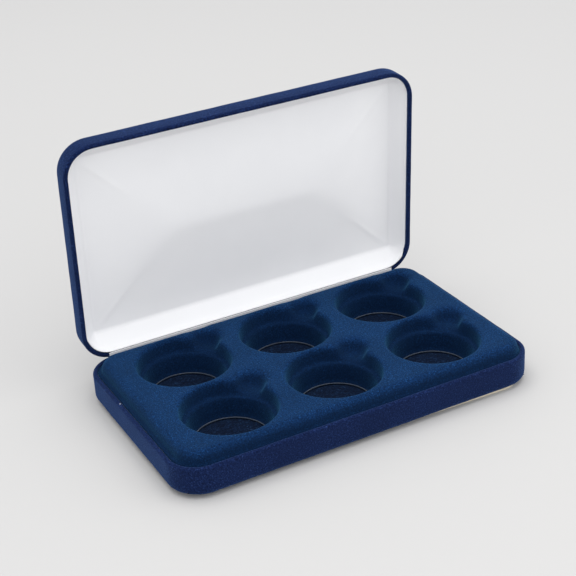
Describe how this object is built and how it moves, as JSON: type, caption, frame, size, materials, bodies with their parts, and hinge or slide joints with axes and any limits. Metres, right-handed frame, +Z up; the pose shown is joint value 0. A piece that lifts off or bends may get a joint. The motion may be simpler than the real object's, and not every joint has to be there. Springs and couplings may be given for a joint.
{
  "type": "hinged coin presentation case",
  "caption": "Velvet-covered presentation case, hinged lid padded with satin, flocked tray with round stepped wells and finger notches for coin capsules.",
  "frame": {"origin": "centre of the base's underside, on the surface it stands on", "axes": "+X along the hinge side, to the right seen from the front; +Y towards the hinge; +Z up"},
  "size_m": [0.203, 0.1324, 0.1399],
  "materials": {
    "navy_velvet": "short-pile navy velvet, matt with a soft sheen at grazing angles",
    "blue_flock": "blue flock on formed plastic sheet, matt",
    "dark_felt": "dark navy felt",
    "shell_plastic": "moulded cream plastic, hidden under the velvet",
    "cream_card": "cream card with bare cut edges",
    "grey_board": "plain grey board",
    "white_satin": "white satin, soft sheen",
    "white_foam": "soft white wadding under the satin",
    "hinge_steel": "nickel-plated pressed steel",
    "spring_steel": "blued spring strip",
    "rivet_aluminium": "plain aluminium"
  },
  "bodies": {
    "base": {"bottom_card": "cream_card", "base_velvet": "navy_velvet", "base_shell": "shell_plastic", "floor_felt": "dark_felt", "tray_collar": "grey_board", "coin_tray": "blue_flock", "hinge_base_leaf_left": "hinge_steel", "hinge_base_leaf_right": "hinge_steel", "hinge_pin_left": "hinge_steel", "hinge_pin_right": "hinge_steel", "hinge_spring_left": "spring_steel", "hinge_spring_right": "spring_steel", "base_rivet_left_1": "rivet_aluminium", "base_rivet_left_2": "rivet_aluminium", "base_rivet_right_1": "rivet_aluminium", "base_rivet_right_2": "rivet_aluminium", "hinge_cover_strip": "white_satin"},
    "lid": {"lid_velvet": "navy_velvet", "lid_shell": "shell_plastic", "lid_satin": "white_satin", "lid_foam": "white_foam", "lid_card": "grey_board", "hinge_lid_leaf_left": "hinge_steel", "hinge_lid_leaf_right": "hinge_steel", "lid_rivet_left_1": "rivet_aluminium", "lid_rivet_left_2": "rivet_aluminium", "lid_rivet_right_1": "rivet_aluminium", "lid_rivet_right_2": "rivet_aluminium"}
  },
  "joints": [
    {"name": "lid_hinge", "type": "hinge", "parent": "base", "child": "lid", "pos_m": [0, 0.05975, 0.0188], "axis": [1, 0, 0], "range_deg": [0, 87], "deforming": ["hinge_cover_strip"]}
  ]
}
